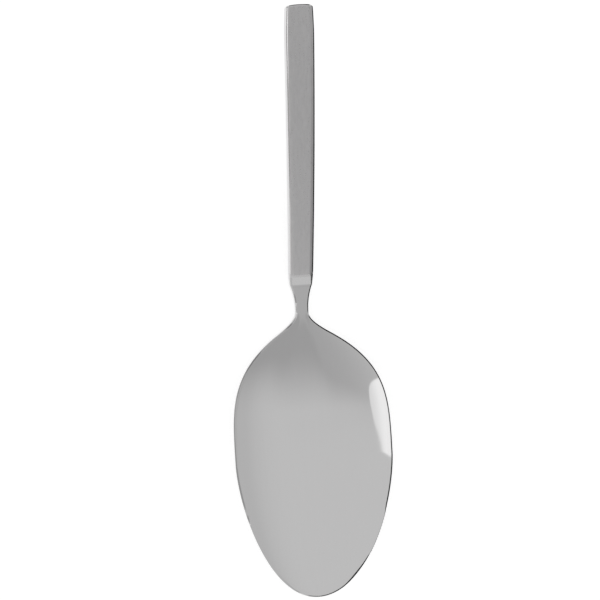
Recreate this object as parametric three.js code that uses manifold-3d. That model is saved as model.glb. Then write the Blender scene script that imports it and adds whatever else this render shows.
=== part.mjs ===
// Flat serving spoon: a pressed bowl with its neck and tang, a bolster, and a hollow bar handle.
// Millimetres. +Z up, +Y from the tip of the bowl towards the handle, +X across, level on its bowl.
// Places along Y are counted from the narrowest part of the neck, and heights from the table.
import * as THREE from "three";
import { mergeVertices } from "three/addons/utils/BufferGeometryUtils.js";
import Module from "manifold-3d";

const wasm = await Module();
wasm.setup();

// Outline of the bowl: a rounded tip, full shoulders and a slim neck with hollow sides
const BOWL_HALF_WIDTH = 35;
const WIDEST_AT = -65.1;
const TIP_LENGTH = 62.1;
const TIP_FULLNESS = 1.62;
const SHOULDER_LENGTH = 60.6;
const SHOULDER_FULLNESS = 3.76;
const SHOULDER_BLEND = 9.5;
const NECK_HALF_WIDTH = 2.8;
const NECK_FLARE_RADIUS = 28;

// Depth of the bowl: a flat floor with hollowed sides, a lifted tip and a neck that sweeps up
const SHEET = 1.6;
const FLOOR_HALF_WIDTH = 6;
const SIDE_RISE = 10.4;
const RIM_FALL = 1.25;
const TOP_TOE_AT = -50;
const UNDER_TOE_AT = -70;
const TIP_RISE = 2.8;
const TOP_HEEL_AT = -46;
const NECK_TOP_RADIUS = 430;
const UNDER_HEEL_AT = -20;
const NECK_UNDER_RADIUS = 195;
const RIM_RADIUS = 0.7;

// Bar handle: two thin shells that meet on a seam halfway through the thickness
const HANDLE_START = 14.1;
const HANDLE_LENGTH = 115.9;
const FRONT_START_HEIGHT = 7.1;
const FRONT_END_HEIGHT = 38.7;
const HANDLE_ARCH = 0.24;
const START_WIDTH = 10.5;
const END_WIDTH = 12.4;
const WIDTH_SWELL = 0.45;
const START_THICKNESS = 4.6;
const END_THICKNESS = 5.6;
const EDGE_ROLL_WIDTH = 1.5;
const EDGE_ROLL_DEPTH = 0.6;
const END_EDGE_RADIUS = 0.8;
const END_ARC_RADIUS = 33;
const END_NARROWING = 0.55;
const END_REACH = 16;
const SHELL_WALL = 0.6;
const END_WALL = 1.5;
const INNER_CORNER_RADIUS = 0.2;
const MOUTH_BEVEL_LENGTH = 1.7;
const MOUTH_BEVEL_DEPTH = 0.2;

// Bolster with its plug in the mouth of the handle, and the tang that passes through it
const BOLSTER_FRONT = 10.7;
const PLUG_LENGTH = 7;
const TANG_HALF_WIDTH = 2.75;
const TANG_THICKNESS = 1.2;
const TANG_LENGTH = 52;
const TANG_EDGE_RADIUS = 0.3;
const FIT_CLEARANCE = 0.25;

// Fineness of the surfaces
const TANG_RIBS = 5;
const NECK_RIBS = 6;
const SHOULDER_RIBS = 28;
const TIP_RIBS = 20;
const ACROSS_STEPS = 9;
const CORNER_STEPS = 3;
const FACE_STEPS = 6;
const BAR_STEPS = 12;
const END_STEPS = 4;
const SLOPE_STEP = 0.001;

// The ribs behind the tip fan out over this length, with their roots this much closer together
const FAN_LENGTH = 32;
const FAN_SQUEEZE = 0.4;

// Each cutting body runs this far past the faces that it opens through
const CUT_OVERRUN = 1;

const POLISHED_STEEL = { color: "#bdbbb7", roughness: 0.16, metalness: 1 };
const TRIMMED_STEEL = { color: "#bab8b4", roughness: 0.22, metalness: 1 };
const SATIN_STEEL = { color: "#b3b1ad", roughness: 0.34, metalness: 1 };
const BEDDING = { color: "#8d867b", roughness: 0.9, metalness: 0 };

const QUARTER_TURN = Math.PI / 2;
const TIP_AT = WIDEST_AT - TIP_LENGTH;
const HANDLE_END = HANDLE_START + HANDLE_LENGTH;
const PLUG_END = HANDLE_START + PLUG_LENGTH;
const TANG_END = BOLSTER_FRONT + TANG_LENGTH;
const CAVITY_END = HANDLE_END - END_WALL;
const CAVITY_INSET = SHELL_WALL + FIT_CLEARANCE;

// Evenly spaced values from one end to the other, both included
function spread(from, to, steps) {
  return Array.from({ length: steps + 1 }, (unused, step) => THREE.MathUtils.lerp(from, to, step / steps));
}

// Edge of the tip at an angle from 0 at the widest place to a quarter turn at the very tip
function tipOutline(angle) {
  const along = Math.abs(Math.sin(angle)) ** (2 / TIP_FULLNESS);
  return new THREE.Vector2(BOWL_HALF_WIDTH * Math.cos(angle), WIDEST_AT - TIP_LENGTH * along);
}

// Half width from the widest place of the bowl to the bolster, shoulders and neck blended together
function shoulderHalfWidth(y) {
  const along = Math.max(0, y - WIDEST_AT) / SHOULDER_LENGTH;
  const shoulder = BOWL_HALF_WIDTH * (1 - along ** SHOULDER_FULLNESS);
  const neck = NECK_HALF_WIDTH + Math.max(0, y) ** 2 / (2 * NECK_FLARE_RADIUS);
  const overlap = Math.max(0, SHOULDER_BLEND - Math.abs(shoulder - neck));
  return Math.max(shoulder, neck) + overlap ** 2 / (4 * SHOULDER_BLEND);
}

// Half width of the whole outline at a place, from the tip to the bolster
function outlineHalfWidth(y) {
  const along = THREE.MathUtils.clamp((WIDEST_AT - y) / TIP_LENGTH, 0, 1);
  return along > 0 ? BOWL_HALF_WIDTH * Math.sqrt(1 - along ** TIP_FULLNESS) : shoulderHalfWidth(y);
}

// Height of the rim over the floor, which falls away to the tip and the neck as the outline narrows
function rimRise(halfWidth) {
  const fullness = Math.max(0, halfWidth - NECK_HALF_WIDTH) / (BOWL_HALF_WIDTH - NECK_HALF_WIDTH);
  return SIDE_RISE * fullness ** RIM_FALL;
}

// Rise of the hollowed sides over the flat floor
function dishRise(x, y) {
  const halfWidth = outlineHalfWidth(y);
  const flat = FLOOR_HALF_WIDTH / BOWL_HALF_WIDTH;
  const across = Math.min(1, Math.abs(x) / Math.max(halfWidth, SLOPE_STEP));
  const side = Math.max(0, across - flat) / (1 - flat);
  return rimRise(halfWidth) * side ** 2;
}

// Rise of the tip along a shallow curve that starts at the toe of the floor
function tipRise(y, toeAt) {
  const toe = Math.max(0, toeAt - y) / (toeAt - TIP_AT);
  return TIP_RISE * toe ** 2;
}

// Rise of the neck along a wide arc that starts at the heel of the bowl
function neckRise(y, heelAt, radius) {
  return Math.max(0, y - heelAt) ** 2 / (2 * radius);
}

function bowlTop(x, y) {
  return SHEET + dishRise(x, y) + tipRise(y, TOP_TOE_AT) + neckRise(y, TOP_HEEL_AT, NECK_TOP_RADIUS);
}

// The underside leaves the floor later than the top, which leaves a flat place to rest on, and the sheet
// thickens into the neck
function bowlUnder(x, y) {
  return dishRise(x, y) + tipRise(y, UNDER_TOE_AT) + neckRise(y, UNDER_HEEL_AT, NECK_UNDER_RADIUS);
}

// Share of the handle's length at a place, 0 at its mouth and 1 at its end
function alongHandle(y) {
  return (y - HANDLE_START) / HANDLE_LENGTH;
}

// The same share raised in the middle by a swell that leaves both ends where they are
function swollen(along, swell) {
  return along * (1 + swell * (1 - along));
}

function handleHalfWidth(y) {
  return THREE.MathUtils.lerp(START_WIDTH, END_WIDTH, swollen(alongHandle(y), WIDTH_SWELL)) / 2;
}

function handleHalfThickness(y) {
  return THREE.MathUtils.lerp(START_THICKNESS, END_THICKNESS, alongHandle(y)) / 2;
}

// Height of the handle's seam, which follows the arched front face half a thickness below it
function handleSeam(y) {
  const arched = swollen(alongHandle(y), HANDLE_ARCH);
  return THREE.MathUtils.lerp(FRONT_START_HEIGHT, FRONT_END_HEIGHT, arched) - handleHalfThickness(y);
}

// Middle height of the neck where the bolster meets it
function neckMiddle() {
  return (bowlTop(0, BOLSTER_FRONT) + bowlUnder(0, BOLSTER_FRONT)) / 2;
}

// Middle height of the tang, which leaves the neck's middle and then keeps to the handle's seam
function tangMiddle(y) {
  const along = (y - BOLSTER_FRONT) / (HANDLE_START - BOLSTER_FRONT);
  return along < 1 ? THREE.MathUtils.lerp(neckMiddle(), handleSeam(HANDLE_START), along) : handleSeam(y);
}

// Closed body through a row of rings of equal length, with a fan over each open end to the end's crown
function loft(rings, openEnds) {
  const corners = [];
  for (let row = 0; row + 1 < rings.length; row += 1) {
    rings[row].forEach((here, place) => {
      const next = (place + 1) % rings[row].length;
      const above = rings[row + 1][place];
      const aboveNext = rings[row + 1][next];
      corners.push(here, aboveNext, rings[row][next], here, above, aboveNext);
    });
  }
  for (const ring of openEnds) {
    const middle = new THREE.Vector3();
    ring.forEach((point) => middle.addScaledVector(point, 1 / ring.length));
    middle.setY(Math.max(...ring.map((point) => point.y)));
    ring.forEach((point, place) => {
      const next = ring[(place + 1) % ring.length];
      const outline = ring === rings[0] ? [point, next] : [next, point];
      corners.push(middle, ...outline);
    });
  }
  return mergeVertices(new THREE.BufferGeometry().setFromPoints(corners));
}

// Ring across the bowl or the tang along one rib, from the middle of the top round the left rim,
// under the middle and round the right rim, with both edges rounded
function ribRing({ root, rim, squareness, radius, top, under }) {
  const span = new THREE.Vector2().subVectors(rim, root);
  const edgeShare = Math.min(radius / squareness / Math.max(span.length(), radius), 1);
  const edgeHeight = Math.min(radius, (top(rim.x, rim.y) - under(rim.x, rim.y)) / 2);
  const flat = spread(0, 1 - edgeShare, ACROSS_STEPS).slice(0, -1).map((share) => ({ share, sink: 0 }));
  const corner = spread(0, QUARTER_TURN, CORNER_STEPS).map((turn) => ({
    share: 1 - edgeShare * (1 - Math.sin(turn)),
    sink: edgeHeight * (1 - Math.cos(turn)),
  }));
  const overTop = [...flat, ...corner].map(({ share, sink }) => {
    const place = root.clone().addScaledVector(span, share);
    return new THREE.Vector3(place.x, place.y, top(place.x, place.y) - sink);
  });
  const below = [...flat, ...corner].map(({ share, sink }) => {
    const place = root.clone().addScaledVector(span, share);
    return new THREE.Vector3(place.x, place.y, under(place.x, place.y) + sink);
  });
  const rightHalf = [...overTop, ...below.reverse()];
  const leftHalf = rightHalf.slice(1, -1).map((point) => new THREE.Vector3(-point.x, point.y, point.z));
  return [rightHalf[0], ...leftHalf, ...rightHalf.slice(1).reverse()];
}

// Rib straight across the tang, made larger by a clearance on every side
function tangRib(y, clearance) {
  return {
    root: new THREE.Vector2(0, y),
    rim: new THREE.Vector2(TANG_HALF_WIDTH + clearance, y),
    squareness: 1,
    radius: TANG_EDGE_RADIUS,
    top: () => tangMiddle(y) + TANG_THICKNESS / 2 + clearance,
    under: () => tangMiddle(y) - TANG_THICKNESS / 2 - clearance,
  };
}

// Rib straight across the neck or the shoulders
function crossRib(y) {
  const wider = shoulderHalfWidth(y + SLOPE_STEP);
  const lean = (wider - shoulderHalfWidth(y - SLOPE_STEP)) / (2 * SLOPE_STEP);
  return {
    root: new THREE.Vector2(0, y),
    rim: new THREE.Vector2(shoulderHalfWidth(y), y),
    squareness: 1 / Math.hypot(1, lean),
    radius: RIM_RADIUS,
    top: bowlTop,
    under: bowlUnder,
  };
}

// Rib of the tip, which leans towards the tip where the ribs fan out
function tipRib(angle) {
  const rim = tipOutline(angle);
  const intoFan = Math.max(0, TIP_AT + FAN_LENGTH - rim.y);
  const root = new THREE.Vector2(0, rim.y + intoFan * (1 - FAN_SQUEEZE));
  const before = tipOutline(Math.max(0, angle - SLOPE_STEP));
  const edge = new THREE.Vector2().subVectors(tipOutline(angle + SLOPE_STEP), before).normalize();
  const span = new THREE.Vector2().subVectors(rim, root).normalize();
  return {
    root,
    rim,
    squareness: Math.abs(span.cross(edge)),
    radius: RIM_RADIUS,
    top: bowlTop,
    under: bowlUnder,
  };
}

// Tang with a clearance, from one place to another, with a ring where it bends into the handle
function tangRings(from, to, clearance) {
  const bend = from < HANDLE_START ? [HANDLE_START] : [];
  const places = [...spread(from, to, TANG_RIBS), ...bend].sort((one, other) => one - other);
  return places.map((y) => ribRing(tangRib(y, clearance)));
}

// Bowl, neck and tang as one pressing, from the tip back to the end of the tang
function bowlGeometry() {
  const tip = spread(QUARTER_TURN, 0, TIP_RIBS).map((angle) => ribRing(tipRib(angle)));
  const shoulders = spread(WIDEST_AT, 0, SHOULDER_RIBS).slice(1).map((y) => ribRing(crossRib(y)));
  const neck = spread(0, BOLSTER_FRONT, NECK_RIBS).slice(1).map((y) => ribRing(crossRib(y)));
  const tang = tangRings(BOLSTER_FRONT, TANG_END, 0);
  return loft([...tip, ...shoulders, ...neck, ...tang], [tang[tang.length - 1]]);
}

// Rounded oblong ring standing across the length; "front" or "back" keeps the half beyond its middle
function oblongRing({ y, middle, halfWidth, halfThickness, rollWidth, rollDepth, keep }) {
  const flat = halfWidth - rollWidth;
  const quarter = (side, level, from) => spread(from, from + QUARTER_TURN, CORNER_STEPS).map((turn) => ({
    x: side * flat + rollWidth * Math.cos(turn),
    z: level * (halfThickness - rollDepth) + rollDepth * Math.sin(turn),
  }));
  const face = (from, to, z) => spread(from, to, FACE_STEPS).map((x) => ({ x, z }));
  const overFront = face(flat, -flat, halfThickness).slice(1, -1);
  const overBack = face(-flat, flat, -halfThickness).slice(1, -1);
  const front = [...quarter(1, 1, 0), ...overFront, ...quarter(-1, 1, QUARTER_TURN)];
  const back = [...quarter(-1, -1, 2 * QUARTER_TURN), ...overBack, ...quarter(1, -1, 3 * QUARTER_TURN)];
  const rings = {
    whole: [...front, ...back],
    front: [...front, ...face(-halfWidth, halfWidth, 0)],
    back: [...back, ...face(halfWidth, -halfWidth, 0)],
  };
  return rings[keep].map(({ x, z }) => new THREE.Vector3(x, y, middle + z));
}

// Ring of the bar handle, inset from its outside; near the end its sides draw in and it bows to the
// end's shallow arc, sliding along the seam
function barRing(y, inset, keep) {
  const nearEnd = Math.max(0, y - HANDLE_END + END_REACH) / END_REACH;
  const ring = oblongRing({
    y,
    middle: 0,
    halfWidth: handleHalfWidth(y) - END_NARROWING * nearEnd ** 2 - inset,
    halfThickness: handleHalfThickness(y) - inset,
    rollWidth: Math.max(EDGE_ROLL_WIDTH - inset, INNER_CORNER_RADIUS),
    rollDepth: Math.max(EDGE_ROLL_DEPTH - inset, INNER_CORNER_RADIUS),
    keep,
  });
  return ring.map(({ x, z }) => {
    const bowed = y - nearEnd * x ** 2 / (2 * END_ARC_RADIUS);
    return new THREE.Vector3(x, bowed, handleSeam(bowed) + z);
  });
}

// Outside of the bar handle: bevelled mouth, long taper, and an end with rounded edges
function barRings(keep) {
  const mouth = barRing(HANDLE_START, MOUTH_BEVEL_DEPTH, keep);
  const taper = spread(HANDLE_START + MOUTH_BEVEL_LENGTH, HANDLE_END - END_REACH, BAR_STEPS);
  const narrowing = spread(HANDLE_END - END_REACH, HANDLE_END - END_EDGE_RADIUS, END_STEPS).slice(1, -1);
  const end = spread(0, QUARTER_TURN, CORNER_STEPS).map((turn) => {
    const back = END_EDGE_RADIUS * (1 - Math.sin(turn));
    return barRing(HANDLE_END - back, END_EDGE_RADIUS * (1 - Math.cos(turn)), keep);
  });
  return [mouth, ...[...taper, ...narrowing].map((y) => barRing(y, 0, keep)), ...end];
}

// Body through a row of rings, closed at both ends
function closedLoft(rings) {
  return loft(rings, [rings[0], rings[rings.length - 1]]);
}

// Inside of the handle from one place to another, inset from the outside
function coreGeometry(from, to, inset) {
  return closedLoft(spread(from, to, BAR_STEPS).map((y) => barRing(y, inset, "whole")));
}

function toSolid(geometry) {
  const mesh = { numProp: 3, vertProperties: geometry.attributes.position.array };
  return new wasm.Manifold(new wasm.Mesh({ ...mesh, triVerts: new Uint32Array(geometry.index.array) }));
}

// Geometry of one body with another cut out of it
function cut(body, tool) {
  const { vertProperties, triVerts } = toSolid(body).subtract(toSolid(tool)).getMesh();
  const geometry = new THREE.BufferGeometry();
  geometry.setAttribute("position", new THREE.BufferAttribute(vertProperties, 3));
  geometry.setIndex(new THREE.BufferAttribute(triVerts, 1));
  return geometry;
}

// Slot for the tang, with a clearance round it
function tangSlot(from, to) {
  return closedLoft(tangRings(from, to, FIT_CLEARANCE));
}

function shellGeometry(keep) {
  const core = coreGeometry(HANDLE_START - CUT_OVERRUN, CAVITY_END, SHELL_WALL);
  return cut(closedLoft(barRings(keep)), core);
}

// Bolster from the neck's section to the handle's, with a plug that fits the handle's mouth
function bolsterGeometry() {
  const front = oblongRing({
    y: BOLSTER_FRONT,
    middle: neckMiddle(),
    halfWidth: shoulderHalfWidth(BOLSTER_FRONT),
    halfThickness: (bowlTop(0, BOLSTER_FRONT) - bowlUnder(0, BOLSTER_FRONT)) / 2,
    rollWidth: RIM_RADIUS,
    rollDepth: RIM_RADIUS,
    keep: "whole",
  });
  const collar = barRing(HANDLE_START, MOUTH_BEVEL_DEPTH, "whole");
  const plug = [HANDLE_START, PLUG_END].map((y) => barRing(y, CAVITY_INSET, "whole"));
  const slot = tangSlot(BOLSTER_FRONT - CUT_OVERRUN, PLUG_END + CUT_OVERRUN);
  return cut(closedLoft([front, collar, ...plug]), slot);
}

// Bedding compound that fills the handle behind the plug and holds the tang
function fillerGeometry() {
  const core = coreGeometry(PLUG_END + FIT_CLEARANCE, CAVITY_END - FIT_CLEARANCE, CAVITY_INSET);
  return cut(core, tangSlot(PLUG_END - CUT_OVERRUN, TANG_END + FIT_CLEARANCE));
}

function piece(name, geometry, finish) {
  geometry.computeVertexNormals();
  const mesh = new THREE.Mesh(geometry, new THREE.MeshStandardMaterial(finish));
  mesh.name = name;
  return mesh;
}

// The pieces share one group, whose origin is under the middle of the spoon's length
const spoon = new THREE.Group();
spoon.position.y = -(HANDLE_END + TIP_AT) / 2;
spoon.add(
  piece("bowl", bowlGeometry(), POLISHED_STEEL),
  piece("bolster", bolsterGeometry(), TRIMMED_STEEL),
  piece("handle_front_shell", shellGeometry("front"), SATIN_STEEL),
  piece("handle_back_shell", shellGeometry("back"), SATIN_STEEL),
  piece("handle_filler", fillerGeometry(), BEDDING),
);

export default spoon;
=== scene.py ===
import math

import bmesh
import bpy
from mathutils import Matrix, Vector


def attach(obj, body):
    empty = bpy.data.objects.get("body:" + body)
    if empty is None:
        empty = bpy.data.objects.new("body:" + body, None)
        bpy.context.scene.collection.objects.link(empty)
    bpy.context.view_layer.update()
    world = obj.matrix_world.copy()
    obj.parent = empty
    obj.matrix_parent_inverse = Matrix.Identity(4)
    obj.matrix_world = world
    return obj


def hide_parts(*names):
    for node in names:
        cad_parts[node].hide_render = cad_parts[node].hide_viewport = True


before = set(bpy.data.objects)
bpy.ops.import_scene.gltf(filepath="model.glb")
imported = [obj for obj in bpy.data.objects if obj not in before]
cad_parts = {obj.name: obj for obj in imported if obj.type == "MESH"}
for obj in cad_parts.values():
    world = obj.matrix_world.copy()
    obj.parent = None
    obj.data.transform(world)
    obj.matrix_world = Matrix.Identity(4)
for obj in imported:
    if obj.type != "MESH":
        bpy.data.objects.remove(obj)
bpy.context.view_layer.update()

# Sizes in millimetres. Places along Y are counted from the narrowest part of the neck and heights
# from the table, and ROW_SHIFT moves them to the frame's origin under the middle of the spoon.
MM = 0.001
ROW_SHIFT = -1.4

# Outline of the bowl
BOWL_HALF_WIDTH = 35
WIDEST_AT = -65.1
TIP_LENGTH = 62.1
TIP_FULLNESS = 1.62
SHOULDER_LENGTH = 60.6
SHOULDER_FULLNESS = 3.76
SHOULDER_BLEND = 9.5
NECK_HALF_WIDTH = 2.8
NECK_FLARE_RADIUS = 28

# Depth of the bowl and the neck
SHEET = 1.6
FLOOR_HALF_WIDTH = 6
SIDE_RISE = 10.4
RIM_FALL = 1.25
TOP_TOE_AT = -50
UNDER_TOE_AT = -70
TIP_RISE = 2.8
TOP_HEEL_AT = -46
NECK_TOP_RADIUS = 430
UNDER_HEEL_AT = -20
NECK_UNDER_RADIUS = 195

# Bar handle
HANDLE_START = 14.1
HANDLE_LENGTH = 115.9
FRONT_START_HEIGHT = 7.1
FRONT_END_HEIGHT = 38.7
HANDLE_ARCH = 0.24
START_WIDTH = 10.5
END_WIDTH = 12.4
WIDTH_SWELL = 0.45
START_THICKNESS = 4.6
END_THICKNESS = 5.6
END_ARC_RADIUS = 33
END_NARROWING = 0.55
END_REACH = 16
SHELL_WALL = 0.6
END_WALL = 1.5
MOUTH_BEVEL_LENGTH = 1.7
MOUTH_BEVEL_DEPTH = 0.22
MOUTH_BEVEL_SIDE = 0.1

# Bolster and tang
BOLSTER_FRONT = 10.7
PLUG_LENGTH = 7
TANG_HALF_WIDTH = 2.75
TANG_THICKNESS = 1.2
TANG_LENGTH = 52
FIT_CLEARANCE = 0.25
SEAM_GROOVE = 0.04

# Softened lines: FLOOR_EASE is a share of the bowl's half width and HEEL_EASE a length. The crease
# between neck and bolster eases over a share of the bolster and changes the slope by CREASE_TURN.
FLOOR_EASE = 0.17
HEEL_EASE = 4
CREASE_AT = 10.1
CREASE_EASE = 0.3
CREASE_TURN = 0.323
SHARP_ANGLE = math.radians(9)

# Edge profiles in steps of (length, tilt in degrees below the face), from the face outwards. All
# but END_EDGE have as many steps, so that their rings join.
RIM_EDGE = [(0.03, -12), (0.03, 4), (0.03, 14), (0.04, 24), (0.62, 34), (0.05, 52), (0.05, 70)]
BAR_EDGE = [(0.95, 8), (0.08, 16), (0.07, 24), (0.06, 30), (0.8, 36), (0.05, 52), (0.05, 72)]
MOUTH_EDGE = [(0.12, 9), (0.1, 18), (0.08, 25), (0.06, 29), (0.8, 32.5), (0.05, 52), (0.05, 72)]
TANG_EDGE = [(0.05, tilt) for tilt in (8, 20, 32, 45, 58, 70, 82)]
END_EDGE = [(0.3, 12), (0.04, 28), (0.3, 41), (0.3, 41), (0.06, 58), (0.06, 76)]

# Where hand polishing changed the rim's bevel: middle, reach, and change as a share of its width
RIM_WEAR = [(-76, 24, 0.3), (-100.2, 13, -2), (-118.2, 6, 0.6)]
NARROWEST_BEVEL = 0.15

# Polish on the shells, smoother and with a painted highlight: how many steps of BAR_EDGE, from the
# flank up, and how much on the mouth
# The polish makes these places smoother, and the steel also paints them brighter: a painted
# highlight.
POLISHED_HIGHLIGHT_STEPS = 4
MOUTH_POLISH_AND_HIGHLIGHT = 0.5

# Fineness of the meshes
ACROSS_STEPS = 40
FLANK_STEPS = 4
TIP_RIBS = 72
SHOULDER_RIBS = 80
NECK_RIBS = 20
TANG_RIBS = 8
BOLSTER_RIBS = 10
MOUTH_RIBS = 6
BAR_RIBS = 60
END_RIBS = 12
FLAT_END_RIBS = 6
FAN_LENGTH = 32
FAN_SQUEEZE = 0.4
SMALL = 0.001
MERGE_DISTANCE = 0.0001

# Steel: lengthwise grain as (scale, stretch, detail), and how far it moves the tone and roughness
FINE_GRAIN = (6000, (1, 0.012, 1), 2)
BROAD_GRAIN = (1100, (1, 0.02, 1), 3)
CLOUDS = (45, (1, 1, 1), 3)
TONE_SPREAD = 0.1
GRAIN_ROUGHNESS = 0.35
CLOUD_ROUGHNESS = 0.25
POLISHED_TINT = (0.582, 0.579, 0.58)
SATIN_TINT = (0.545, 0.538, 0.541)

# Bedding compound in the handle
SPECKS = (900, (1, 1, 1), 4)
DARK_SPECK = (0.42, 0.39, 0.35)
LIGHT_SPECK = (0.62, 0.59, 0.55)
SPECK_RELIEF = 0.6
SPECK_DEPTH = 0.05
RESIN_ROUGHNESS = 0.9

# Table top: half its width in metres, its gap under the spoon, and the glow that whitens it
TABLE_REACH = 8
TABLE_CELLS = 8
TABLE_GAP = 0.05
TABLE_TONE = 0.6
TABLE_GLOW = 0.66

# View of the photograph: the camera leans left and towards the handle, and is rolled a little
VIEW_LEAN = (-0.20, 0.07)
VIEW_ROLL = math.radians(-4.31)
VIEW_DISTANCE = 1000
VIEW_SCALE = 2.2857
VIEW_CENTRE = (301.15, 308.754)
FRAME_PIXELS = 600
SENSOR = 36
CLIP_START = 10

# Studio light as brightness over the sky. Directions are written as slopes from straight overhead,
# to the right and to the back, away from the tip, so that the panels have straight edges. Each
# FADE is a pair of the value where it starts and the value where it ends.
LOWEST_SKY = 0.03

# Large panel overhead, and its front edge, which slants and blurs on both sides of a bend
OVERHEAD = 0.858
OVERHEAD_RIGHT = 0.741
OVERHEAD_RIGHT_FADE = (0.279, 2.956)
OVERHEAD_BACK = 0.72
OVERHEAD_BACK_FADE = (0.35, 0.8)
EDGE_FORWARD = 0.126
EDGE_BEND = 0.288
EDGE_BEND_REACH = 0.533
EDGE_SLANT_RIGHT = 0.308
EDGE_SLANT_LEFT = 0.074
EDGE_BLUR = 0.039
EDGE_BLUR_RIGHT = 0.174
EDGE_BLUR_LEFT = 0.040

# Dimmer gap in front of it, lighter on the left and in the middle, with a band that the neck
# mirrors, a light far in front, a dimmer stripe on the right and a dimmer place on the far left
GAP = 0.553
GAP_LEFT = 0.198
GAP_LEFT_FADE = (0.218, -2.155)
GAP_MIDDLE = 0.047
GAP_MIDDLE_FADE = (0.218, -0.013)
BAND = 0.105
BAND_BACK_FADE = (-0.263, -0.279)
BAND_FRONT_FADE = (-0.75, -0.45)
BAND_RIGHT_FADE = (0.29, 0.22)
BAND_LEFT_FADE = (0.08, 0.17)
FRONT = 0.32
FRONT_BACK_FADE = (-0.48, -1.05)
FRONT_LEFT_FADE = (-0.35, 0.0)
FRONT_RIGHT_FADE = (0.5, 0.33)
STRIPE = 0.68
STRIPE_LEFT_FADE = (0.44, 0.52)
STRIPE_BACK_FADE = (-0.06, -0.11)
STRIPE_SLANT = 0.6
FAR_LEFT = 0.6
FAR_LEFT_FADE = (-1.5, -1.62)
FAR_LEFT_FRONT_FADE = (-1.1, -0.9)

# Bright panel on the left, with rounded corners, and a second one beyond it. The first one's back
# and front edges are lines, as factors of the two slopes and an offset.
SIDE_PANEL = 1.16
SIDE_PANEL_FAR = 0.26
SIDE_PANEL_FADE = (-0.95, -1.35)
SIDE_PANEL_NEAR = -0.94
SIDE_PANEL_BULGE_AT = -1.2
SIDE_PANEL_BULGE = 0.28
BACK_EDGE_BACK = -4.0
BACK_EDGE_OFFSET = -0.684
FRONT_EDGE_RIGHT = -1.02
FRONT_EDGE_BACK = 2.0
FRONT_EDGE_OFFSET = -0.285
SIDE_PANEL_ROUNDING = 0.32
SIDE_PANEL_EDGE_FADE = (-0.012, 0.012)
SIDE_PANEL_OUTER_FADE = (-1.445, -1.425)
SIDE_PANEL_OUTER_SLANT = -0.25
FAR_PANEL = 1.2
FAR_PANEL_FADE = (-1.635, -1.66)
FAR_PANEL_SLANT = -0.23
FAR_PANEL_BACK_FADE = (-0.25, -0.35)
FAR_PANEL_FRONT_FADE = (-1.8, -1.6)

# Dark surroundings low on the right and behind, written as parts of the direction itself
HORIZON = 0.05
LOW_FADE = (0.22, 0.14)
LOW_BACK_SLANT = -0.5
LOW_FRONT_FADE = (0.4, 0.32)
LOW_FRONT_AHEAD_FADE = (-0.55, -0.62)
DARK_RIGHT_FADE = (0.1, 0.4)
DARK_BEHIND = 0.5
DARK_BEHIND_FADE = (0.5, 0.8)
DARK_BEHIND_MIDDLE_FADE = (-0.24, -0.12)
DARK_BEHIND_LEFT_FADE = (-0.27, -0.36)

WHITE = (1, 1, 1, 1)
QUARTER_TURN = math.pi / 2

# Places and insets that follow from the sizes above
TIP_AT = WIDEST_AT - TIP_LENGTH
HANDLE_END = HANDLE_START + HANDLE_LENGTH
PLUG_END = HANDLE_START + PLUG_LENGTH
TANG_END = BOLSTER_FRONT + TANG_LENGTH
CAVITY_END = HANDLE_END - END_WALL
CAVITY_INSET = SHELL_WALL + FIT_CLEARANCE


def mix(start, end, share):
    return start + (end - start) * share


def spread(start, end, steps):
    """Evenly spaced values from start to end, both included."""
    return [mix(start, end, step / steps) for step in range(steps + 1)]


def eased(value, reach):
    """The value where it is positive and 0 where it is negative, with a soft change in between."""
    return max(0, value) if abs(value) > reach else (value + reach) ** 2 / (4 * reach)


def tip_outline(angle):
    """Edge of the tip, from 0 at the widest place to a quarter turn at the very tip."""
    along = abs(math.sin(angle)) ** (2 / TIP_FULLNESS)
    return Vector((BOWL_HALF_WIDTH * math.cos(angle), WIDEST_AT - TIP_LENGTH * along))


def shoulder_half_width(y):
    """Half width from the widest place of the bowl to the bolster."""
    along = max(0, y - WIDEST_AT) / SHOULDER_LENGTH
    shoulder = BOWL_HALF_WIDTH * (1 - along ** SHOULDER_FULLNESS)
    neck = NECK_HALF_WIDTH + max(0, y) ** 2 / (2 * NECK_FLARE_RADIUS)
    overlap = max(0, SHOULDER_BLEND - abs(shoulder - neck))
    return max(shoulder, neck) + overlap ** 2 / (4 * SHOULDER_BLEND)


def outline_half_width(y):
    """Half width of the whole outline, from the tip to the bolster."""
    along = min(1, max(0, (WIDEST_AT - y) / TIP_LENGTH))
    if along > 0:
        return BOWL_HALF_WIDTH * math.sqrt(1 - along ** TIP_FULLNESS)
    return shoulder_half_width(y)


def dish_rise(x, y):
    """Rise of the hollowed sides over the flat floor."""
    half_width = outline_half_width(min(y, 0))
    fullness = max(0, half_width - NECK_HALF_WIDTH) / (BOWL_HALF_WIDTH - NECK_HALF_WIDTH)
    flat = FLOOR_HALF_WIDTH / BOWL_HALF_WIDTH
    across = min(1, abs(x) / max(half_width, SMALL))
    side = eased(across - flat, FLOOR_EASE) / (1 - flat)
    return SIDE_RISE * fullness ** RIM_FALL * side ** 2


def tip_rise(y, toe_at):
    return TIP_RISE * (eased(toe_at - y, HEEL_EASE) / (toe_at - TIP_AT)) ** 2


def neck_rise(y, heel_at, radius):
    return eased(y - heel_at, HEEL_EASE) ** 2 / (2 * radius)


def bowl_top(x, y):
    neck = neck_rise(y, TOP_HEEL_AT, NECK_TOP_RADIUS)
    return SHEET + dish_rise(x, y) + tip_rise(y, TOP_TOE_AT) + neck


def bowl_under(x, y):
    neck = neck_rise(y, UNDER_HEEL_AT, NECK_UNDER_RADIUS)
    return dish_rise(x, y) + tip_rise(y, UNDER_TOE_AT) + neck


def along_handle(y):
    """Share of the handle's length, 0 at its mouth and 1 at its end."""
    return (y - HANDLE_START) / HANDLE_LENGTH


def swollen(along, swell):
    """The same share raised in the middle by a swell that leaves both ends where they are."""
    return along * (1 + swell * (1 - along))


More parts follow.
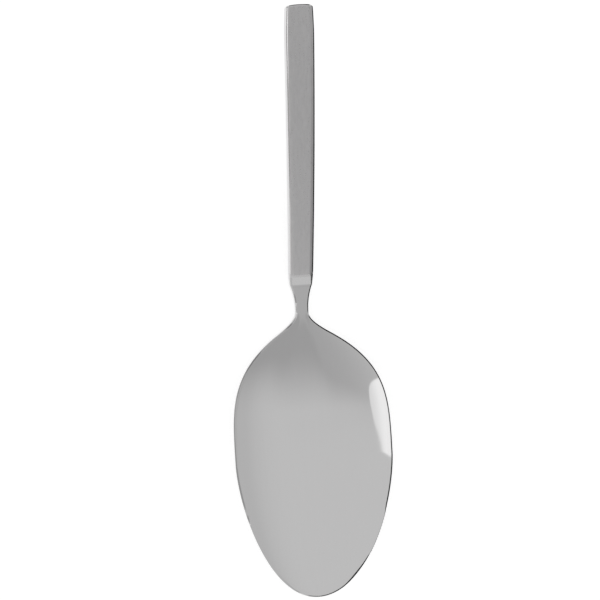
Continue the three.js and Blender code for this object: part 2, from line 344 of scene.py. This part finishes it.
def near_end(y):
    """0 along the handle, growing to 1 over its last stretch."""
    return max(0, y - HANDLE_END + END_REACH) / END_REACH


def handle_half_width(y):
    width = mix(START_WIDTH, END_WIDTH, swollen(along_handle(y), WIDTH_SWELL))
    return width / 2 - END_NARROWING * near_end(y) ** 2


def handle_half_thickness(y):
    return mix(START_THICKNESS, END_THICKNESS, along_handle(y)) / 2


def handle_seam(y):
    """Height of the seam, half a thickness below the arched front face."""
    front = mix(FRONT_START_HEIGHT, FRONT_END_HEIGHT, swollen(along_handle(y), HANDLE_ARCH))
    return front - handle_half_thickness(y)


def neck_middle():
    return (bowl_top(0, BOLSTER_FRONT) + bowl_under(0, BOLSTER_FRONT)) / 2


def tang_middle(y):
    """Middle height of the tang, which leaves the neck's middle and then keeps to the seam."""
    along = (y - BOLSTER_FRONT) / (HANDLE_START - BOLSTER_FRONT)
    if along < 1:
        return mix(neck_middle(), handle_seam(HANDLE_START), along)
    return handle_seam(y)


def edge_steps(profile):
    """Running (width, drop) along an edge profile, from the face to the outermost point."""
    width, drop, steps = 0, 0, []
    for length, tilt in profile:
        width += length * math.cos(math.radians(tilt))
        drop += length * math.sin(math.radians(tilt))
        steps.append((width, drop))
    return steps


def rim_edge(y):
    """Edge profile of the bowl's rim, with its bevel's width as the polishing left it."""
    share = 1
    for middle, reach, change in RIM_WEAR:
        share += change * max(0, 1 - ((y - middle) / reach) ** 2) ** 2
    share = max(share, NARROWEST_BEVEL)
    bevel = max(RIM_EDGE)
    return [(step[0] * share, step[1]) if step == bevel else step for step in RIM_EDGE]


def whole_ring(half):
    """Ring from its right half, which runs from the middle of the top to that of the underside."""
    return half + [Vector((-point.x, point.y, point.z)) for point in half[1:-1]][::-1]


def rib_ring(root, rim, squareness, top, under, profile):
    """Ring round one rib of the bowl, neck or tang."""
    span = rim - root
    reach = max(span.length * squareness, SMALL)
    steps = edge_steps(profile)
    scale = min(1, reach / steps[-1][0])
    face_share = 1 - steps[-1][0] * scale / reach

    def place(share, surface, lift=0):
        at = root + span * share
        return Vector((at.x, at.y, surface(at.x, at.y) + lift))

    over = [place(share, top) for share in spread(0, face_share, ACROSS_STEPS)]
    below = [place(share, under) for share in spread(0, face_share, ACROSS_STEPS)]
    crest = over[-1].z
    for width, drop in steps:
        share = face_share + width * scale / reach
        over.append(place(share, lambda *at: crest, -drop * scale))
        below.append(place(share, under, max(0, drop) * scale))
    below[-1].z = min(below[-1].z, over[-1].z - SMALL)
    edge = [over[-1].lerp(below[-1], share) for share in spread(0, 1, FLANK_STEPS)[1:-1]]
    return whole_ring(over + edge + below[::-1])


def cross_rib(y):
    """Ring straight across the neck or the shoulders."""
    wider = shoulder_half_width(y + SMALL)
    lean = (wider - shoulder_half_width(y - SMALL)) / (2 * SMALL)
    root, rim = Vector((0, y)), Vector((shoulder_half_width(y), y))
    return rib_ring(root, rim, 1 / math.hypot(1, lean), bowl_top, bowl_under, rim_edge(y))


def tip_rib(angle):
    """Ring of the tip, which leans towards the tip where the ribs fan out."""
    rim = tip_outline(angle)
    into_fan = max(0, TIP_AT + FAN_LENGTH - rim.y)
    root = Vector((0, rim.y + into_fan * (1 - FAN_SQUEEZE)))
    edge = (tip_outline(angle + SMALL) - tip_outline(max(0, angle - SMALL))).normalized()
    span = (rim - root).normalized()
    squareness = abs(span.x * edge.y - span.y * edge.x)
    return rib_ring(root, rim, squareness, bowl_top, bowl_under, rim_edge(rim.y))


def tang_rib(y, clearance=0):
    """Ring of the tang, made larger by a clearance on every side."""
    middle = tang_middle(y)
    half = TANG_THICKNESS / 2 + clearance
    root, rim = Vector((0, y)), Vector((TANG_HALF_WIDTH + clearance, y))
    return rib_ring(root, rim, 1, lambda *at: middle + half, lambda *at: middle - half, TANG_EDGE)


def bar_quarter(y, side_inset=0, face_inset=0, groove=0, profile=BAR_EDGE):
    """Quarter section of the bar as (x, z), from a face's middle round the edge to the seam."""
    half_width = handle_half_width(y) - side_inset
    half_thickness = handle_half_thickness(y) - face_inset
    steps = edge_steps(profile)
    edge_width, edge_drop = steps[-1]
    flat = half_width - edge_width
    face = [(x, half_thickness) for x in spread(0, flat, ACROSS_STEPS)]
    edge = [(flat + width, half_thickness - drop) for width, drop in steps]
    flank_heights = spread(half_thickness - edge_drop, 2 * groove, FLANK_STEPS)[1:]
    return face + edge + [(half_width, z) for z in flank_heights] + [(half_width - groove, 0)]


def bar_place(x, y, z):
    """Point of the bar, slid back along the seam near the end so that the end is a shallow arc."""
    bowed = y - near_end(y) * x ** 2 / (2 * END_ARC_RADIUS)
    return Vector((x, bowed, handle_seam(bowed) + z))


def mouth_quarter(inset=0, groove=0):
    """Quarter section at the handle's mouth, bevelled more on its faces than on its sides."""
    side_inset, face_inset = MOUTH_BEVEL_SIDE + inset, MOUTH_BEVEL_DEPTH + inset
    return bar_quarter(HANDLE_START, side_inset, face_inset, groove, MOUTH_EDGE)


def bar_ring(y, quarter):
    """Ring round the whole bar with as many points as a rib's ring."""
    upper = quarter[:-FLANK_STEPS - 1]
    edge_z = upper[-1][1]
    flank = [(upper[-1][0], z) for z in spread(edge_z, -edge_z, FLANK_STEPS)[1:-1]]
    half = upper + flank + [(x, -z) for x, z in upper[::-1]]
    return whole_ring([bar_place(x, y, z) for x, z in half])


def half_strip(y, quarter, side, height=1):
    """Row over half of the bar from its right seam to its left; side is 1 in front, -1 behind."""
    across = quarter[::-1] + [(-x, z) for x, z in quarter[1:]]
    return [bar_place(x, y, side * z * height) for x, z in across]


def hollow_ring(y, side):
    """Ring of one shell round its wall."""
    outside = half_strip(y, bar_quarter(y, groove=SEAM_GROOVE), side)
    inside = half_strip(y, bar_quarter(y, SHELL_WALL, SHELL_WALL), side)
    return outside + inside[::-1]


def solid_ring(y, inset, side, height=1):
    """Ring of one shell where it is solid, closed along the seam."""
    outside = half_strip(y, bar_quarter(y, inset, inset, SEAM_GROOVE), side, height)
    return outside + half_strip(y, bar_quarter(y, inset, inset), side, 0)[::-1]


def lerp_rings(one, other, steps):
    """Rings from one to the other, both included."""
    shares = spread(0, 1, steps)
    return [[here.lerp(there, share) for here, there in zip(one, other)] for share in shares]


def end_rings(side):
    """Rings over the rounded edge and the flat face of one shell's closed end."""
    edge = [(0, 0)] + edge_steps(END_EDGE)
    edge_width, edge_drop = edge[-1]
    start = HANDLE_END - edge_width
    rings = [solid_ring(start + width, drop, side) for width, drop in edge]
    for height in spread(1, 0, FLAT_END_RIBS)[1:]:
        rings.append(solid_ring(HANDLE_END, edge_drop, side, height))
    return rings


def shell_rings(side):
    """Rings of one shell from the mouth, along the hollow, to the closed end."""
    mouth = half_strip(HANDLE_START, mouth_quarter(groove=SEAM_GROOVE), side)
    inner_mouth = half_strip(HANDLE_START, mouth_quarter(SHELL_WALL), side)
    taper = spread(HANDLE_START + MOUTH_BEVEL_LENGTH, HANDLE_END - END_REACH, BAR_RIBS)
    reach = spread(HANDLE_END - END_REACH, CAVITY_END, END_RIBS)[1:]
    hollow = [hollow_ring(y, side) for y in taper + reach]
    bevel = lerp_rings(mouth + inner_mouth[::-1], hollow[0], MOUTH_RIBS)[:-1]
    start = [mouth + mouth[::-1]]
    return start + bevel + hollow + [solid_ring(CAVITY_END, 0, side)] + end_rings(side)


def crease_lift(y):
    """Height that moves the crease of neck and bolster to its polished place and softens it."""
    slope = eased((y - CREASE_AT) / (HANDLE_START - CREASE_AT), CREASE_EASE)
    climb = slope * (HANDLE_START - BOLSTER_FRONT)
    return CREASE_TURN * (climb - max(0, y - BOLSTER_FRONT))


def soften_crease(ring):
    """Ring with its upper half raised a little where neck and bolster meet."""
    middle = (min(point.z for point in ring) + max(point.z for point in ring)) / 2
    for point in ring:
        if point.z > middle:
            point.z += crease_lift(point.y)
    return ring


def link_object(name, data):
    """Object in the scene's own collection."""
    thing = bpy.data.objects.new(name, data)
    bpy.context.scene.collection.objects.link(thing)
    return thing


def add_vert(bm, point):
    return bm.verts.new(Vector((point.x, point.y + ROW_SHIFT, point.z)) * MM)


def make_piece(name, rings, wrap=False, cap_end=False, polish_and_highlight_at=lambda row, place: 0):
    """Closed mesh skinned over rings of equal length; wrap joins the last ring to the first."""
    bm = bmesh.new()
    # polish of each face, which the steel also turns into a painted highlight
    polish_and_highlight = bm.faces.layers.float.new("polish_and_highlight")
    rows = [[add_vert(bm, point) for point in ring] for ring in rings]
    following = rows[1:] + (rows[:1] if wrap else [])
    for row, (one, other) in enumerate(zip(rows, following)):
        for place in range(len(one)):
            after = (place + 1) % len(one)
            face = bm.faces.new((one[place], one[after], other[after], other[place]))
            face[polish_and_highlight] = polish_and_highlight_at(row, place)
    if cap_end:
        bm.faces.new(rows[-1])
    bmesh.ops.remove_doubles(bm, verts=bm.verts, dist=MERGE_DISTANCE * MM)
    bmesh.ops.dissolve_degenerate(bm, edges=bm.edges, dist=MERGE_DISTANCE * MM)
    bmesh.ops.recalc_face_normals(bm, faces=bm.faces)
    mesh = bpy.data.meshes.new(name)
    bm.to_mesh(mesh)
    bm.free()
    mesh.polygons.foreach_set("use_smooth", [True] * len(mesh.polygons))
    mesh.set_sharp_from_angle(angle=SHARP_ANGLE)
    return link_object(name, mesh)


def make_bowl():
    """Bowl, neck and tang as one pressing."""
    tip = [tip_rib(angle) for angle in spread(QUARTER_TURN, 0, TIP_RIBS)]
    shoulders = [cross_rib(y) for y in spread(WIDEST_AT, 0, SHOULDER_RIBS)[1:]]
    neck = [soften_crease(cross_rib(y)) for y in spread(0, BOLSTER_FRONT, NECK_RIBS)[1:]]
    tang = [tang_rib(y) for y in [BOLSTER_FRONT] + spread(HANDLE_START, TANG_END, TANG_RIBS)]
    return make_piece("spoon_bowl", tip + shoulders + neck + tang, cap_end=True)


def make_bolster():
    """Bolster as a sleeve: its outside, the plug in the handle's mouth, and the tang's slot."""
    front = cross_rib(BOLSTER_FRONT)
    collar = bar_ring(HANDLE_START, mouth_quarter())
    outside = [soften_crease(ring) for ring in lerp_rings(front, collar, BOLSTER_RIBS)]
    plug = [bar_ring(y, bar_quarter(y, CAVITY_INSET, CAVITY_INSET))
            for y in (HANDLE_START, PLUG_END)]
    slot = [tang_rib(y, FIT_CLEARANCE) for y in (PLUG_END, HANDLE_START, BOLSTER_FRONT)]
    return make_piece("handle_bolster", outside + plug + slot, wrap=True)


def make_shell(name, side):
    """One shell of the handle, with polished flanks, edges and end, which also get a painted
    highlight, and a satin face.
    """
    edge = FLANK_STEPS + POLISHED_HIGHLIGHT_STEPS
    last = 2 * (ACROSS_STEPS + len(BAR_EDGE) + FLANK_STEPS + 1)
    rings = shell_rings(side)
    end = len(rings) - len(END_EDGE) - FLAT_END_RIBS

    def polish_and_highlight_at(row, place):
        if row >= end or place <= edge or last - edge <= place + 1 <= last:
            return 1
        # polish and painted highlight full over the first half of the mouth's bevel and fading over
        # its second half
        return MOUTH_POLISH_AND_HIGHLIGHT * min(1, max(0, 2 - 2 * row / MOUTH_RIBS))

    return make_piece(name, rings, polish_and_highlight_at=polish_and_highlight_at)


class Nodes:
    """Small helper that adds nodes to a tree and joins them."""

    def __init__(self, owner):
        owner.use_nodes = True
        self.tree = owner.node_tree
        self.tree.nodes.clear()

    def add(self, kind, inputs=None, **settings):
        node = self.tree.nodes.new(kind)
        for name, value in settings.items():
            setattr(node, name, value)
        for name, value in (inputs or {}).items():
            self.put(node.inputs[name], value)
        return node

    def put(self, socket, value):
        if isinstance(value, bpy.types.NodeSocket):
            self.tree.links.new(value, socket)
        else:
            socket.default_value = value

    def math(self, operation, *values, clamp=False):
        node = self.add("ShaderNodeMath", operation=operation, use_clamp=clamp)
        for socket, value in zip(node.inputs, values):
            self.put(socket, value)
        return node.outputs[0]

    def product(self, first, *others):
        for other in others:
            first = self.math("MULTIPLY", first, other)
        return first

    def plus_scaled(self, rest, value, factor):
        """The rest plus a factor times the value."""
        return self.math("MULTIPLY_ADD", value, factor, rest)

    def ease(self, value, fade, low=0.0, high=1.0):
        """Smooth step from low at the fade's start to high at its end."""
        start, end = fade
        inputs = {"Value": value, "From Min": start, "From Max": end, "To Min": low, "To Max": high}
        return self.add("ShaderNodeMapRange", inputs, interpolation_type="SMOOTHSTEP").outputs[0]

    def change(self, share, factor):
        """1 where the share is 0, and the factor where the share is 1."""
        return self.ease(share, (0.0, 1.0), 1.0, factor)

    def rise(self, value, reach):
        """The value where it is positive and 0 where it is negative, with a soft change between."""
        share = self.math("MULTIPLY_ADD", value, 0.5 / reach, 0.5, clamp=True)
        bend = self.product(share, share, reach)
        beyond = self.math("MAXIMUM", self.math("SUBTRACT", value, reach), 0.0)
        return self.math("ADD", bend, beyond)

    def blend(self, low, high, share):
        """Mix of two brightnesses."""
        rest = self.product(low, self.math("SUBTRACT", 1.0, share))
        return self.plus_scaled(rest, high, share)

    def grain(self, scale, stretch, detail):
        """Noise from -0.5 to 0.5 in object space, stretched along one or more axes."""
        coords = self.add("ShaderNodeTexCoord").outputs["Object"]
        mapped = self.add("ShaderNodeMapping", {"Vector": coords, "Scale": stretch}).outputs[0]
        inputs = {"Vector": mapped, "Scale": scale, "Detail": detail}
        return self.math("SUBTRACT", self.add("ShaderNodeTexNoise", inputs).outputs[0], 0.5)

    def two_tones(self, share, dark, light):
        """Colour between two tones."""
        inputs = {"Factor": share, "A": (*dark, 1), "B": (*light, 1)}
        return self.add("ShaderNodeMix", inputs, data_type="RGBA").outputs["Result"]

    def surface(self, shader, kind="ShaderNodeOutputMaterial"):
        self.add(kind, {"Surface": shader.outputs[0]})


def steel(name, tint, roughness, streaks, scratch_depth, edge_roughness=None, edge_highlight_gain=1.0):
    """Brushed or polished steel: grain in tone, roughness and fine relief, and smoother polished
    edges with a painted highlight that brightens their colour.
    """
    material = bpy.data.materials.new(name)
    nodes = Nodes(material)
    fine, broad, cloud = [nodes.grain(*grain) for grain in (FINE_GRAIN, BROAD_GRAIN, CLOUDS)]
    both = nodes.math("ADD", fine, broad)
    tone = nodes.plus_scaled(0.5, both, streaks)
    dark = [channel * (1 - TONE_SPREAD) for channel in tint]
    light = [channel * (1 + TONE_SPREAD) for channel in tint]
    shade = nodes.two_tones(tone, dark, light)
    rough = nodes.plus_scaled(roughness, both, roughness * GRAIN_ROUGHNESS)
    rough = nodes.plus_scaled(rough, cloud, roughness * CLOUD_ROUGHNESS)
    polish_and_highlight = nodes.add("ShaderNodeAttribute", attribute_name="polish_and_highlight").outputs["Fac"]
    edge_share = (edge_roughness or roughness) / roughness
    rough = nodes.product(rough, nodes.change(polish_and_highlight, edge_share))
    # painted highlight: the colour is scaled up where the polish attribute is set
    scaling = {"Vector": shade, "Scale": nodes.change(polish_and_highlight, edge_highlight_gain)}
    colour = nodes.add("ShaderNodeVectorMath", scaling, operation="SCALE").outputs[0]
    scratches = {"Height": fine, "Strength": 1.0, "Distance": scratch_depth * MM}
    bump = nodes.add("ShaderNodeBump", scratches).outputs[0]
    inputs = {"Base Color": colour, "Metallic": 1.0, "Roughness": rough, "Normal": bump}
    nodes.surface(nodes.add("ShaderNodeBsdfPrincipled", inputs))
    return material


def resin(name):
    """Cast bedding compound: matte, with fine specks."""
    material = bpy.data.materials.new(name)
    nodes = Nodes(material)
    specks = nodes.grain(*SPECKS)
    shade = nodes.two_tones(nodes.math("ADD", specks, 0.5), DARK_SPECK, LIGHT_SPECK)
    relief = {"Height": specks, "Strength": SPECK_RELIEF, "Distance": SPECK_DEPTH * MM}
    bump = nodes.add("ShaderNodeBump", relief).outputs[0]
    inputs = {"Base Color": shade, "Roughness": RESIN_ROUGHNESS, "Normal": bump}
    nodes.surface(nodes.add("ShaderNodeBsdfPrincipled", inputs))
    return material


def wear(piece, material):
    """Gives a piece one material in place of any other."""
    piece.data.materials.clear()
    piece.data.materials.append(material)


def dress(piece, slot, material, *replaced):
    wear(piece, material)
    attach(piece, "root")
    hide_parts(*replaced)


def pale_table():
    """White to the camera and in reflections, and still darkened by shadows."""
    material = bpy.data.materials.new("pale_table")
    nodes = Nodes(material)
    path = nodes.add("ShaderNodeLightPath").outputs
    seen = nodes.math("ADD", path["Is Camera Ray"], path["Is Glossy Ray"])
    seen = nodes.math("ADD", seen, path["Is Transmission Ray"], clamp=True)
    glow = nodes.product(seen, TABLE_GLOW)
    lit = nodes.add("ShaderNodeBsdfDiffuse", {"Color": (TABLE_TONE, TABLE_TONE, TABLE_TONE, 1)})
    shine = nodes.add("ShaderNodeEmission", {"Color": WHITE, "Strength": glow})
    both = nodes.add("ShaderNodeAddShader")
    for socket, shader in zip(both.inputs, (lit, shine)):
        nodes.put(socket, shader.outputs[0])
    nodes.surface(both)
    return material


def make_floor():
    """Pale table top under the spoon."""
    bm = bmesh.new()
    bmesh.ops.create_grid(bm, x_segments=TABLE_CELLS, y_segments=TABLE_CELLS, size=TABLE_REACH)
    mesh = bpy.data.meshes.new("table_top")
    bm.to_mesh(mesh)
    bm.free()
    mesh.materials.append(pale_table())
    floor = link_object("table_top", mesh)
    floor.location.z = -TABLE_GAP * MM


def overhead_share(nodes, right, back):
    """1 under the large panel and 0 in front of its edge."""
    bend_right = nodes.rise(nodes.math("SUBTRACT", right, EDGE_BEND), EDGE_BEND_REACH)
    bend_left = nodes.rise(nodes.math("SUBTRACT", EDGE_BEND, right), EDGE_BEND_REACH)
    edge = nodes.plus_scaled(back, bend_left, EDGE_SLANT_LEFT)
    edge = nodes.plus_scaled(edge, bend_right, EDGE_SLANT_RIGHT)
    blur = nodes.plus_scaled(EDGE_BLUR, bend_right, EDGE_BLUR_RIGHT)
    blur = nodes.plus_scaled(blur, bend_left, EDGE_BLUR_LEFT)
    into = nodes.math("DIVIDE", nodes.math("ADD", edge, EDGE_FORWARD), blur)
    return nodes.ease(into, (-1.0, 1.0))


def overhead_light(nodes, right, back):
    """Brightness of the large panel, which falls off to the right and to the back."""
    light = nodes.ease(right, OVERHEAD_RIGHT_FADE, OVERHEAD, OVERHEAD_RIGHT)
    return nodes.product(light, nodes.ease(back, OVERHEAD_BACK_FADE, 1.0, OVERHEAD_BACK))


def gap_light(nodes, right, back):
    """Brightness of the gap in front of the large panel."""
    left = nodes.ease(right, GAP_LEFT_FADE, GAP, GAP + GAP_LEFT)
    light = nodes.math("ADD", left, nodes.ease(right, GAP_MIDDLE_FADE, 0.0, GAP_MIDDLE))
    band = nodes.product(nodes.ease(back, BAND_BACK_FADE),
                         nodes.ease(back, BAND_FRONT_FADE, 0.0, BAND))
    middle = nodes.product(nodes.ease(right, BAND_RIGHT_FADE), nodes.ease(right, BAND_LEFT_FADE))
    light = nodes.plus_scaled(light, band, middle)
    front = nodes.product(nodes.ease(back, FRONT_BACK_FADE, 0.0, FRONT),
                          nodes.ease(right, FRONT_LEFT_FADE))
    light = nodes.plus_scaled(light, front, nodes.ease(right, FRONT_RIGHT_FADE))
    slanted = nodes.plus_scaled(back, right, STRIPE_SLANT)
    stripe = nodes.product(nodes.ease(right, STRIPE_LEFT_FADE),
                           nodes.ease(slanted, STRIPE_BACK_FADE))
    return nodes.product(light, nodes.change(stripe, STRIPE))


def side_panel_share(nodes, right, back):
    """1 inside the bright panel on the left, which is bounded by three lines and an outer edge."""
    near = nodes.math("SUBTRACT", SIDE_PANEL_NEAR, right)
    bulge = nodes.math("MAXIMUM", nodes.math("SUBTRACT", SIDE_PANEL_BULGE_AT, right), 0.0)
    behind = nodes.plus_scaled(BACK_EDGE_OFFSET, back, BACK_EDGE_BACK)
    behind = nodes.plus_scaled(behind, bulge, SIDE_PANEL_BULGE)
    ahead = nodes.plus_scaled(FRONT_EDGE_OFFSET, back, FRONT_EDGE_BACK)
    ahead = nodes.plus_scaled(ahead, right, FRONT_EDGE_RIGHT)
    corner = nodes.math("SMOOTH_MIN", near, behind, SIDE_PANEL_ROUNDING)
    corner = nodes.math("SMOOTH_MIN", corner, ahead, SIDE_PANEL_ROUNDING)
    slanted = nodes.plus_scaled(right, back, SIDE_PANEL_OUTER_SLANT)
    return nodes.product(nodes.ease(corner, SIDE_PANEL_EDGE_FADE),
                         nodes.ease(slanted, SIDE_PANEL_OUTER_FADE))


def far_panel_share(nodes, right, back):
    """1 inside the second bright panel, beyond the first."""
    slanted = nodes.plus_scaled(right, back, FAR_PANEL_SLANT)
    return nodes.product(nodes.ease(slanted, FAR_PANEL_FADE),
                         nodes.ease(back, FAR_PANEL_BACK_FADE),
                         nodes.ease(back, FAR_PANEL_FRONT_FADE))


def dark_share(nodes, x, y, z):
    """1 in the dark surroundings low on the right, and part of it low behind the handle."""
    slanted = nodes.plus_scaled(z, nodes.math("MAXIMUM", y, 0.0), LOW_BACK_SLANT)
    low_front = nodes.product(nodes.ease(z, LOW_FRONT_FADE), nodes.ease(y, LOW_FRONT_AHEAD_FADE))
    low = nodes.math("MAXIMUM", nodes.ease(slanted, LOW_FADE), low_front)
    behind = nodes.math("MAXIMUM", nodes.ease(x, DARK_BEHIND_MIDDLE_FADE),
                        nodes.ease(x, DARK_BEHIND_LEFT_FADE))
    behind = nodes.product(behind, nodes.ease(y, DARK_BEHIND_FADE, 0.0, DARK_BEHIND))
    side = nodes.math("MAXIMUM", nodes.ease(x, DARK_RIGHT_FADE), behind)
    return nodes.product(low, side)


def make_studio():
    """Soft studio light, and a plain white backdrop where the camera looks past the table."""
    world = bpy.data.worlds.new("studio")
    bpy.context.scene.world = world
    nodes = Nodes(world)
    direction = nodes.add("ShaderNodeTexCoord").outputs["Generated"]
    x, y, z = nodes.add("ShaderNodeSeparateXYZ", {"Vector": direction}).outputs
    height = nodes.math("MAXIMUM", z, LOWEST_SKY)
    right = nodes.math("DIVIDE", x, height)
    back = nodes.math("DIVIDE", y, height)

    light = nodes.blend(gap_light(nodes, right, back), overhead_light(nodes, right, back),
                        overhead_share(nodes, right, back))
    far_left = nodes.product(nodes.ease(right, FAR_LEFT_FADE),
                             nodes.ease(back, FAR_LEFT_FRONT_FADE))
    light = nodes.product(light, nodes.change(far_left, FAR_LEFT))
    panel = nodes.ease(right, SIDE_PANEL_FADE, SIDE_PANEL, SIDE_PANEL + SIDE_PANEL_FAR)
    light = nodes.blend(light, panel, side_panel_share(nodes, right, back))
    light = nodes.blend(light, FAR_PANEL, far_panel_share(nodes, right, back))
    light = nodes.product(light, nodes.change(dark_share(nodes, x, y, z), HORIZON))

    seen = nodes.add("ShaderNodeLightPath").outputs["Is Camera Ray"]
    light = nodes.blend(light, 1.0, seen)
    sky = nodes.add("ShaderNodeBackground", {"Color": WHITE, "Strength": light})
    nodes.surface(sky, "ShaderNodeOutputWorld")


def make_camera():
    """Camera at the photograph's angle, aimed so that the picture is framed without any shift."""
    back = Vector((*VIEW_LEAN, 1)).normalized()
    level = Vector((1, 0, 0))
    level = (level - back * back.dot(level)).normalized()
    upright = back.cross(level)
    right = level * math.cos(VIEW_ROLL) + upright * math.sin(VIEW_ROLL)
    up = back.cross(right)
    neck = Vector((0, ROW_SHIFT, SHEET))
    off_x = (FRAME_PIXELS / 2 - VIEW_CENTRE[0]) / VIEW_SCALE
    off_y = (VIEW_CENTRE[1] - FRAME_PIXELS / 2) / VIEW_SCALE
    eye = neck + back * VIEW_DISTANCE
    aim = neck + right * off_x + up * off_y
    axis = (eye - aim).normalized()
    across = (right - axis * axis.dot(right)).normalized()
    data = bpy.data.cameras.new("photo_camera")
    data.sensor_width = SENSOR
    data.lens = SENSOR * VIEW_SCALE * VIEW_DISTANCE / FRAME_PIXELS
    data.clip_start = CLIP_START * MM
    camera = link_object("photo_camera", data)
    turn = Matrix((across, axis.cross(across), axis)).transposed().to_4x4()
    camera.matrix_world = Matrix.Translation(eye * MM) @ turn
    bpy.context.scene.camera = camera


polished = steel("polished_steel", POLISHED_TINT, roughness=0.05, streaks=0.1, scratch_depth=0.0002)
trimmed = steel("trimmed_steel", POLISHED_TINT, roughness=0.12, streaks=0.15, scratch_depth=0.0003)
# satin handle steel, with smoother polished edges whose colour is painted brighter as a painted
# highlight
satin = steel("satin_steel", SATIN_TINT, roughness=0.3, streaks=1.0, scratch_depth=0.0006,
              edge_roughness=0.06, edge_highlight_gain=1.15)

dress(make_bowl(), "bowl_steel", polished, "bowl")
dress(make_bolster(), "bolster_steel", trimmed, "bolster")
dress(make_shell("handle_front", 1), "handle_steel", satin, "handle_front_shell")
dress(make_shell("handle_back", -1), "handle_steel", satin, "handle_back_shell")
wear(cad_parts["handle_filler"], resin("bedding_resin"))

make_floor()
make_studio()
make_camera()
bpy.context.scene.view_settings.view_transform = "Standard"
